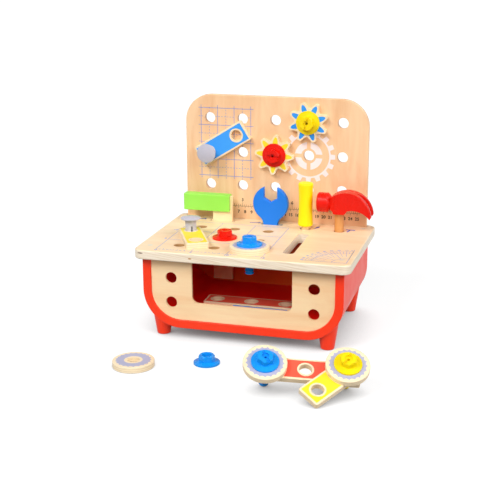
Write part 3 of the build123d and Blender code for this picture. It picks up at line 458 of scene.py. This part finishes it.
def clear_of(start, end, across, gaps):
    """The runs of a line that miss round gaps (along, across, radius); across is where the line runs."""
    runs = [(start, end)]
    for along, side, radius in gaps:
        half = radius**2 - (side - across) ** 2
        if half <= 0:
            continue
        half = math.sqrt(half)
        kept = []
        for low, high in runs:
            kept += [(low, min(high, along - half)), (max(low, along + half), high)]
        runs = [(low, high) for low, high in kept if high - low > 0.0004]
    return runs


HOLE = 0.008
TOP_ROW_DROP = 0.0345
board_rows = [board_high.z - TOP_ROW_DROP - i * PITCH for i in range(3)]
board_holes = [((i - 2) * PITCH, z) for i in range(5) for z in board_rows]
ON_BOARD = Matrix.Translation((0, board_low.y, 0)) @ Matrix.Rotation(math.radians(90), 4, "X")

# blue inch grid, with a broken line at each half inch
INCH = 0.0254
GRID_LEFT = -0.1137
GRID_LOW = 0.190
GRID_WIDE = 3 * INCH
GRID_TALL = 4 * INCH
GRID_OVERRUN = 0.004
GRID_LINE = 0.0008
BROKEN_LINE = 0.0006
DASH_STEP = 0.0044
DASH = 0.0026
HOLE_GAP = HOLE + 0.0004
grid_blue = ink("grid ink", tone(126, 138, 210), tone(146, 156, 212))
gap_up = [(z, x, HOLE_GAP) for x, z in board_holes]
gap_side = [(x, z, HOLE_GAP) for x, z in board_holes]


def grid_run(a, b, whole):
    """The strokes of one stretch of a grid line, as (start, end, width): one whole stroke, or dashes."""
    if whole:
        return [(a, b, GRID_LINE)]
    starts = [a + k * DASH_STEP for k in range(int((b - a) / DASH_STEP))]
    return [(start, start + DASH, BROKEN_LINE) for start in starts]


grid = []
for i in range(7):
    x = GRID_LEFT + i * INCH / 2
    for a, b in clear_of(GRID_LOW - GRID_OVERRUN, GRID_LOW + GRID_TALL + GRID_OVERRUN, x, gap_up):
        grid += [(x, start, x, end, width) for start, end, width in grid_run(a, b, i % 2 == 0)]
for i in range(9):
    z = GRID_LOW + i * INCH / 2
    for a, b in clear_of(GRID_LEFT - GRID_OVERRUN, GRID_LEFT + GRID_WIDE + GRID_OVERRUN, z, gap_side):
        grid += [(start, z, end, z, width) for start, end, width in grid_run(a, b, i % 2 == 0)]
strokes("board_inch_grid", grid, ON_BOARD, grid_blue, "bench")

# pale gear wheel: a toothed rim and a hub in four quarters about a peg hole
TEETH = 16
WHEEL_ROOT = 0.033
WHEEL_TIP = 0.0395
RIM_INSIDE = 0.0305
HUB_INSIDE = 0.0112
HUB_OUTSIDE = 0.0205
pale_ink = ink("pale ink", tone(253, 238, 238), tone(252, 234, 230))


def polar(radius, angle):
    """A point from its distance and its angle in radians."""
    return radius * math.cos(angle), radius * math.sin(angle)


wheel = []
for i in range(TEETH):
    for share, radius in ((-0.30, WHEEL_ROOT), (-0.21, WHEEL_TIP), (0.21, WHEEL_TIP), (0.30, WHEEL_ROOT)):
        wheel.append(polar(radius, 2 * math.pi * (i + share) / TEETH))
wheel_at = Matrix.Translation((PITCH, board_low.y, board_rows[1])) @ Matrix.Rotation(math.radians(90), 4, "X")
quarters = []
for i in range(4):
    inner = [(HUB_INSIDE, math.radians(14 + 62 * k / 12)) for k in range(13)]
    outer = [(HUB_OUTSIDE, math.radians(8 + 74 * k / 16)) for k in range(17)]
    quarters.append([polar(radius, angle + i * math.pi / 2) for radius, angle in outer + inner[::-1]])
cut_out("board_gear_print", [wheel, ring(RIM_INSIDE)] + quarters, wheel_at, pale_ink, "bench")

# black ruler in centimetres below its line and inches above it
BOLD = 0.0002
ZERO = -0.1265
RULER_Z = 0.1452
RULER_LONG = 10 * INCH
CENTIMETRE = 0.01
RULER_LINE = 0.0004
FIGURE = 0.0064
CENTIMETRE_Z = 0.1366
INCH_Z = 0.1548
black_ink = ink("black ink", tone(54, 40, 34), tone(84, 66, 54))
ruler = [(ZERO, RULER_Z, ZERO + RULER_LONG, RULER_Z, RULER_LINE)]
for i in range(81):
    tall = 0.0062 if i % 8 == 0 else 0.0040 if i % 4 == 0 else 0.0028
    x = ZERO + i * INCH / 8
    ruler.append((x, RULER_Z, x, RULER_Z + tall, RULER_LINE))
for i in range(51):
    tall = 0.0030 if i % 2 == 0 else 0.0018
    x = ZERO + i * CENTIMETRE / 2
    ruler.append((x, RULER_Z, x, RULER_Z - tall, RULER_LINE))
strokes("board_ruler", ruler, ON_BOARD, black_ink, "bench")
centimetres = [(str(i), ZERO + CENTIMETRE * i, CENTIMETRE_Z, 0) for i in range(1, 26)]
figures("board_ruler_centimetres", centimetres, FIGURE, BOLD, ON_BOARD, black_ink, "bench")
inches = [(str(i), ZERO + INCH * i, INCH_Z, 0) for i in range(1, 10)]
figures("board_ruler_inches", inches, FIGURE, BOLD, ON_BOARD, black_ink, "bench")


# Printed on the worktop in the same blue: a grid about the peg holes, a scale along the front,
# a quarter protractor at the front right corner, and a small outline of each tool beside its place.
top_blue = ink("worktop ink", tone(120, 136, 214), tone(150, 160, 214))
ON_TOP = Matrix.Translation((0, 0, worktop_high.z))
TOP_LINE = 0.0007
THIN_LINE = 0.0006
SCALE_STEP = 0.005
SCALE_DASH_STEP = 0.006
SCALE_DASH = 0.0036
TOP_FIGURE = 0.0072
top_columns = [FIRST_HOLE[0] - PITCH / 2 + i * PITCH for i in range(4)]
top_rows = [FIRST_HOLE[1] - PITCH / 2 + i * PITCH for i in range(4)]
left, front = top_columns[0], top_rows[0]
top_lines = [(x, front, x, top_rows[3], TOP_LINE) for x in top_columns]
top_lines += [(left, y, top_columns[3], y, TOP_LINE) for y in top_rows[1:]]
for i in range(31):
    x = left + i * SCALE_STEP
    tall = 0.0045 if i % 10 == 0 else 0.003 if i % 2 == 0 else 0.0016
    top_lines.append((x, front, x, front + tall, THIN_LINE))
for i in range(24):
    x = left + SCALE_DASH_STEP / 2 + i * SCALE_DASH_STEP
    top_lines.append((x, front, x + SCALE_DASH, front, THIN_LINE))
strokes("worktop_grid", top_lines, ON_TOP, top_blue, "bench")
top_numbers = [(str(5 * i), top_columns[i] + 0.001, front - 0.0042, 0) for i in range(4)]
top_numbers.append(("5", left - 0.005, top_rows[1] + 0.002, 0))
top_numbers.append(("10", left - 0.006, top_rows[2] - 0.001, 0))
figures("worktop_numbers", top_numbers, TOP_FIGURE, BOLD, ON_TOP, top_blue, "bench")

# quarter protractor
FAN_SIDE = 0.062
FAN_RING = 0.055
FAN_LINE = 0.0005
DEGREES_AT = 0.0595
DEGREES_SIZE = 0.0046
corner = Vector((0.1425, -0.0922))


def ray(angle, reach):
    """The point at a distance from the protractor's corner, at an angle in degrees."""
    return corner + reach * Vector((math.cos(math.radians(angle)), math.sin(math.radians(angle))))


fan = [(*corner, *ray(180, FAN_SIDE), TOP_LINE), (*corner, *ray(90, FAN_SIDE), TOP_LINE)]
for i in range(19):
    inner = 0.020 if i % 6 == 0 else 0.030 if i % 2 == 0 else 0.043
    outer = FAN_RING if i % 2 == 0 else 0.052
    fan.append((*ray(90 + 5 * i, inner), *ray(90 + 5 * i, outer), FAN_LINE))
for radius, steps in ((0.020, 10), (0.047, 22), (FAN_RING, 26)):
    for i in range(steps):
        fan.append((*ray(90 + 90 * i / steps, radius), *ray(90 + 90 * (i + 1) / steps, radius), FAN_LINE))
strokes("worktop_protractor", fan, ON_TOP, top_blue, "bench")
degrees = [(str(10 * i), *ray(90 + 10 * i, DEGREES_AT), 10 * i) for i in range(1, 9)]
degrees.append(("0", corner.x - 0.003, corner.y + DEGREES_AT, 0))
degrees.append(("90", corner.x - DEGREES_AT, corner.y + 0.003, 90))
figures("worktop_degrees", degrees, DEGREES_SIZE, BOLD / 2, ON_TOP, top_blue, "bench")

# small tool outlines as bars (x, y, x, y, width): try square, wrench, screwdriver and hammer
mark_ink = ink("tool mark ink", tone(60, 86, 190), tone(84, 106, 196))
marks = [
    (-0.117, 0.073, -0.103, 0.079, 0.0034),
    (-0.104, 0.0785, -0.1035, 0.0735, 0.0022),
    (-0.034, 0.0735, -0.021, 0.0755, 0.0028),
    (-0.0215, 0.0735, -0.0185, 0.0778, 0.0034),
    (0.0665, 0.062, 0.069, 0.069, 0.0020),
    (0.069, 0.068, 0.0705, 0.0755, 0.0038),
    (0.112, 0.0700, 0.125, 0.0700, 0.0040),
    (0.1180, 0.0700, 0.1155, 0.0570, 0.0024),
]
strokes("worktop_tool_marks", marks, ON_TOP, mark_ink, "bench")


# The try square is a green-painted stock with a thin plain blade let into its end.
# It hangs in a snug slot at the back left of the worktop.
green_paint = painted("green paint", tone(156, 236, 88), tone(150, 230, 80))
dress(["square_stock"], green_paint)
blade_wood = lacquered("blade wood", tone(253, 230, 184), tone(246, 212, 160), GRAIN_UP, 0.7)
dress(["square_blade"], blade_wood)


# The wrench is sawn from plywood, rounded and painted blue all over.
# Its handle drops through a slot behind the peg holes.
blue_paint = painted("blue paint", tone(26, 128, 236), tone(20, 120, 230))
dress(["wrench"], blue_paint)


# The screwdriver has a turned handle in yellow paint on a plain dowel shaft with a flat tip.
# It stands on the floor of the box, through a hole.
yellow_paint = painted("yellow paint", tone(255, 236, 4), tone(254, 230, 0))
dress(["screwdriver_handle"], yellow_paint)
dress(["screwdriver_shaft"], lacquered("shaft wood", tone(252, 220, 170), tone(238, 196, 140), GRAIN_UP, 0.8))


# The hammer head is moulded in glossy red plastic, with a round face, a neck and a split claw.
# Its handle is an oiled hardwood dowel pressed up into the head.
def moulded(name, colour, deep, rough=0.26):
    """Glossy moulded plastic, with faint flow marks."""
    material = bpy.data.materials.new(name)
    material.use_nodes = True
    tree = material.node_tree
    shader = tree.nodes["Principled BSDF"]
    place = node(tree, "ShaderNodeTexCoord").outputs["Object"]
    inputs = {"Vector": place, "Scale": 60.0, "Detail": 3.0, "Distortion": 0.8}
    flow = node(tree, "ShaderNodeTexNoise", inputs)
    fine = node(tree, "ShaderNodeTexNoise", {"Vector": place, "Scale": 1500.0, "Detail": 2.0})
    shade = spread(tree, flow.outputs["Fac"], 0.35, 0.75, 0.0, 0.7)
    tree.links.new(blend_colours(tree, shade, colour, deep), shader.inputs["Base Color"])
    gloss = spread(tree, flow.outputs["Fac"], 0.3, 0.7, rough - 0.04, rough + 0.08)
    tree.links.new(gloss, shader.inputs["Roughness"])
    bump = node(tree, "ShaderNodeBump", {"Strength": 0.05, "Distance": 0.0001, "Height": fine.outputs["Fac"]})
    tree.links.new(bump.outputs["Normal"], shader.inputs["Normal"])
    shader.inputs["Specular IOR Level"].default_value = 0.22
    return material


red_plastic = moulded("red plastic", tone(228, 24, 6), tone(220, 18, 2))
dress(["hammer_head"], red_plastic)
dress(["hammer_handle"], lacquered("handle wood", tone(222, 160, 94), tone(202, 134, 70), GRAIN_UP))


# Bolts, nuts and pegs are moulded plastic: red, blue and yellow bolts with slotted hexagon heads on
# wide flanges, nuts to match, and grey push-in pegs with domed heads and split shanks.
blue_plastic = moulded("blue plastic", tone(20, 152, 240), tone(14, 144, 234))
yellow_plastic = moulded("yellow plastic", tone(248, 222, 12), tone(244, 214, 6))
grey_plastic = moulded("grey plastic", tone(196, 194, 206), tone(186, 184, 198), 0.2)
dress(["board_bolt_red", "board_nut_red", "top_bolt_red"], red_plastic)
dress(["top_bolt_blue", "floor_nut_blue", "link_bolt_blue"], blue_plastic)
dress(["board_bolt_yellow", "board_nut_yellow", "link_bolt_yellow"], yellow_plastic)
dress(["board_peg", "top_peg"], grey_plastic)


# The star gears are sawn from plywood and painted on the face, short of the edge, so that a pale
# border of bare wood is left around each point. Each turns on its own bolt.
PLATE = 0.008
STAR_ROOT = 0.0130
STAR_TIP = 0.0268
STAR_BARE_RING = 0.0098
plate_pale = tone(252, 232, 196)
plate_dark = tone(245, 216, 172)
gear_blue = painted("gear blue paint", tone(56, 156, 248), tone(46, 146, 242))
gear_yellow = painted("gear yellow paint", tone(255, 228, 56), tone(252, 220, 44))


def star_points(root, tip, count=8, steps=192):
    """A round-pointed star."""
    points = []
    for i in range(steps):
        angle = 2 * math.pi * i / steps
        radius = root + (tip - root) * (0.5 + 0.5 * math.cos(count * angle)) ** 1.15
        points.append((radius * math.cos(angle), radius * math.sin(angle)))
    return points


def turned(degrees):
    """A turn about Z."""
    return Matrix.Rotation(math.radians(degrees), 4, "Z")


TO_FACE = Matrix.Translation((0, 0, PLATE))
for colour, (x, z), angle, paint in (
    ("blue", (PITCH, board_rows[0]), 18, gear_blue),
    ("yellow", (0.0, board_rows[1]), -5, gear_yellow),
):
    name = "star_gear_" + colour
    base = ON_BOARD @ Matrix.Translation((x, z, 0)) @ turned(angle)
    star = [star_points(STAR_ROOT, STAR_TIP), ring(STAR_BARE_RING)]
    cut_out(name + "_paint", star, base @ TO_FACE, paint, colour + "_gear")
    dress([name], lacquered(name + " wood", plate_pale, plate_dark, base, 0.8, layers=PLATE))


# The strips are plywood with a painted face: colour stops short of the edges and of each hole,
# which keeps a ring of bare wood. They lie on the board, the worktop, in the box and on the floor.
strip_blue = painted("strip blue paint", tone(66, 164, 252), tone(56, 154, 248))
strip_yellow = painted("strip yellow paint", tone(255, 232, 52), tone(254, 224, 40))
strip_red = painted("strip red paint", tone(253, 98, 74), tone(250, 88, 64))
STRIP_HALF_WIDTH = 0.016
STRIP_END = 0.017
BARE_EDGE = 0.0026
BARE_RING = 0.0104


def strip(name, holes, base, paint, body):
    """A strip's bare wood and painted face; base is its underside with the first hole at the origin."""
    low = -STRIP_END + BARE_EDGE
    high = (holes - 1) * PITCH + STRIP_END - BARE_EDGE
    side = STRIP_HALF_WIDTH - BARE_EDGE
    outline = [(low, -side), (high, -side), (high, side), (low, side)]
    rings = [ring(BARE_RING, 56, (i * PITCH, 0.0)) for i in range(holes)]
    cut_out(name + "_paint", [outline] + rings, base @ TO_FACE, paint, body)
    dress([name], lacquered(name + " wood", plate_pale, plate_dark, base, 0.8, layers=PLATE))


def joint(name):
    """A joint's point and axis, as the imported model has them."""
    found = next(j for j in frame["joints"] if j["name"] == name)
    return Vector(found.get("pos_m", (0, 0, 0))), Vector(found["axis"])


WALL_STRIP_TURN = 32
DECK_STRIP_TURN = -63.4
STORED_RED_AT = (-0.0573, -0.0153)
STORED_RED_TURN = 0.7
STORED_BLUE_AT = (-0.0135, -0.0495)
STORED_BLUE_TURN = -1.3
base = ON_BOARD @ Matrix.Translation((-2 * PITCH, board_rows[1], 0)) @ turned(WALL_STRIP_TURN)
strip("board_strip_blue", 2, base, strip_blue, "wall_strip")
peg_at, _ = joint("deck_strip_turn")
base = Matrix.Translation((peg_at.x, peg_at.y, worktop_high.z)) @ turned(DECK_STRIP_TURN)
strip("top_strip_yellow", 2, base, strip_yellow, "deck_strip")
box_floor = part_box("stored_strip_red")[0].z
base = Matrix.Translation((*STORED_RED_AT, box_floor)) @ turned(STORED_RED_TURN)
strip("stored_strip_red", 3, base, strip_red, "box_red_strip")
base = Matrix.Translation((*STORED_BLUE_AT, box_floor)) @ turned(STORED_BLUE_TURN)
strip("stored_strip_blue", 2, base, strip_blue, "box_blue_strip")

# The linkage leans on the floor, so its own plane is found from its two disc pivots.
ARM_TURN = -134.3
near_at, tilt = joint("linkage_near_disc_spin")
far_at, _ = joint("linkage_far_disc_spin")
arm_at, _ = joint("linkage_arm_turn")
tilt = tilt.normalized()
along = far_at - near_at
along = (along - tilt * along.dot(tilt)).normalized()
leaning = Matrix((along, tilt.cross(along), tilt)).transposed().to_4x4()
half = tilt * PLATE / 2
base = Matrix.Translation(near_at - 3 * half) @ leaning
strip("link_strip_red", 3, base, strip_red, "linkage")
base = Matrix.Translation(arm_at - half) @ leaning @ turned(ARM_TURN)
strip("link_arm_yellow", 2, base, strip_yellow, "linkage_arm")


# The discs are turned plywood with a grey toothed ring printed on the face, like a saw blade,
# inside a border of bare wood and outside a bare ring around the hole.
disc_grey = painted("disc grey paint", tone(180, 180, 206), tone(172, 172, 200))
SAW_TEETH = 21
SAW_TIP = 0.0239
SAW_BITE = 0.0021
SAW_STEPS = 6
SAW_BARE_RING = 0.012
saw = []
for i in range(SAW_TEETH * SAW_STEPS):
    across = 2 * (i % SAW_STEPS) / SAW_STEPS - 1
    radius = SAW_TIP - SAW_BITE * (1 - across**2)
    angle = 2 * math.pi * i / (SAW_TEETH * SAW_STEPS)
    saw.append((radius * math.cos(angle), radius * math.sin(angle)))


def disc(name, base, body):
    """A disc's bare wood and the grey ring on its face; base is its underside."""
    cut_out(name + "_print", [saw, ring(SAW_BARE_RING)], base @ TO_FACE, disc_grey, body)
    dress([name], lacquered(name + " wood", plate_pale, plate_dark, base, 0.8, layers=PLATE))


disc_at, _ = joint("deck_disc_spin")
disc("top_disc", Matrix.Translation((disc_at.x, disc_at.y, worktop_high.z)), "deck_disc")
disc_low, disc_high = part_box("floor_disc")
middle = (disc_low + disc_high) / 2
disc("floor_disc", Matrix.Translation((middle.x, middle.y, 0)), "loose_disc")
disc("link_disc_near", Matrix.Translation(near_at - half) @ leaning, "linkage_near_disc")
disc("link_disc_far", Matrix.Translation(far_at - half) @ leaning, "linkage_far_disc")


# A plain pale floor, soft light from the upper left with weaker light from the front and the right,
# and the camera. The floor shows white to the camera, with a painted soft shadow close around the bench.
floor_mesh = bpy.data.meshes.new("floor")
sheet = bmesh.new()
bmesh.ops.create_grid(sheet, x_segments=1, y_segments=1, size=30.0)
sheet.to_mesh(floor_mesh)
sheet.free()
floor = bpy.data.objects.new("floor", floor_mesh)
bpy.context.scene.collection.objects.link(floor)

# To the camera and in reflections the floor glows white, darker where a piece is close above it:
# a painted shadow over a faint real one. To all other light it is a plain matt grey.
MATT_GREY = (0.3, 0.3, 0.3, 1.0)
LIT_GREY = (0.22, 0.22, 0.22, 1.0)
WHITE = (1.0, 1.0, 1.0, 1.0)
SHADOW_REACH = 0.09
pale = bpy.data.materials.new("pale floor")
pale.use_nodes = True
tree = pale.node_tree
tree.nodes.remove(tree.nodes["Principled BSDF"])
seen = node(tree, "ShaderNodeLightPath")
matt = node(tree, "ShaderNodeBsdfDiffuse", {"Color": MATT_GREY})
film = node(tree, "ShaderNodeBsdfDiffuse", {"Color": LIT_GREY})
# painted shadow: the white glow dims where a piece is close above the floor
near = node(tree, "ShaderNodeAmbientOcclusion", {"Distance": SHADOW_REACH}, samples=16)
shade = spread(tree, near.outputs["AO"], 0.05, 0.72, 0.1, 0.86)
glow = node(tree, "ShaderNodeEmission", {"Color": WHITE, "Strength": shade})
lit = node(tree, "ShaderNodeAddShader", {0: film.outputs[0], 1: glow.outputs[0]})
bright = reckon(tree, "MAXIMUM", seen.outputs["Is Camera Ray"], seen.outputs["Is Glossy Ray"])
bright = reckon(tree, "MAXIMUM", bright, seen.outputs["Is Transmission Ray"])
both = node(tree, "ShaderNodeMixShader", {0: bright, 1: matt.outputs[0], 2: lit.outputs[0]})
tree.links.new(both.outputs[0], tree.nodes["Material Output"].inputs["Surface"])
floor_mesh.materials.append(pale)

# The room is white to the camera, nearly as bright in reflections, and adds a little light from above.
IN_REFLECTIONS = 0.8
ROOM_LIGHT_LOW = 0.008
ROOM_LIGHT_HIGH = 0.03
scene = bpy.context.scene
world = bpy.data.worlds.new("studio")
scene.world = world
world.use_nodes = True
tree = world.node_tree
sky = tree.nodes["Background"]
sky.inputs["Color"].default_value = WHITE
facing = node(tree, "ShaderNodeTexCoord").outputs["Generated"]
height = node(tree, "ShaderNodeSeparateXYZ", {0: facing}).outputs["Z"]
seen = node(tree, "ShaderNodeLightPath")
white = reckon(tree, "MAXIMUM", seen.outputs["Is Camera Ray"], seen.outputs["Is Transmission Ray"])
shiny = reckon(tree, "MULTIPLY", seen.outputs["Is Glossy Ray"], IN_REFLECTIONS)
white = reckon(tree, "MAXIMUM", white, shiny)
level = spread(tree, height, 0.1, 0.7, ROOM_LIGHT_LOW, ROOM_LIGHT_HIGH)
tree.links.new(reckon(tree, "MAXIMUM", level, white), sky.inputs["Strength"])


def soft_sun(name, azimuth, height, strength, angle):
    """A broad far lamp; azimuth from the front towards the right, and height above the floor."""
    lamp = bpy.data.lights.new(name, "SUN")
    lamp.energy = strength
    lamp.angle = math.radians(angle)
    holder = bpy.data.objects.new(name, lamp)
    holder.rotation_euler = (math.radians(90 - height), 0, math.radians(azimuth))
    scene.collection.objects.link(holder)


soft_sun("key lamp", azimuth=-34, height=44, strength=2.1, angle=26)
soft_sun("front lamp", azimuth=10, height=32, strength=1.1, angle=26)
soft_sun("side lamp", azimuth=78, height=32, strength=2.0, angle=50)

# The picture is 500 pixels square; the focal length and the optical centre are in its pixels.
IMAGE = 500.0
FOCAL_LENGTH = 1066.05
CENTRE_X = 258.92
CENTRE_Y = 241.06
CAMERA_PLACE = (0.37869, -1.40003, 0.53674)
CAMERA_DIP = 16.031
CAMERA_TURN = 15.136
camera_data = bpy.data.cameras.new("camera")
camera = bpy.data.objects.new("camera", camera_data)
scene.collection.objects.link(camera)
camera_data.lens = FOCAL_LENGTH / IMAGE * camera_data.sensor_width
camera_data.shift_x = (IMAGE / 2 - CENTRE_X) / IMAGE
camera_data.shift_y = (CENTRE_Y - IMAGE / 2) / IMAGE
camera_data.clip_end = 100.0
camera.location = CAMERA_PLACE
camera.rotation_euler = (math.radians(90 - CAMERA_DIP), 0.0, math.radians(CAMERA_TURN))
scene.camera = camera
scene.view_settings.view_transform = "Standard"
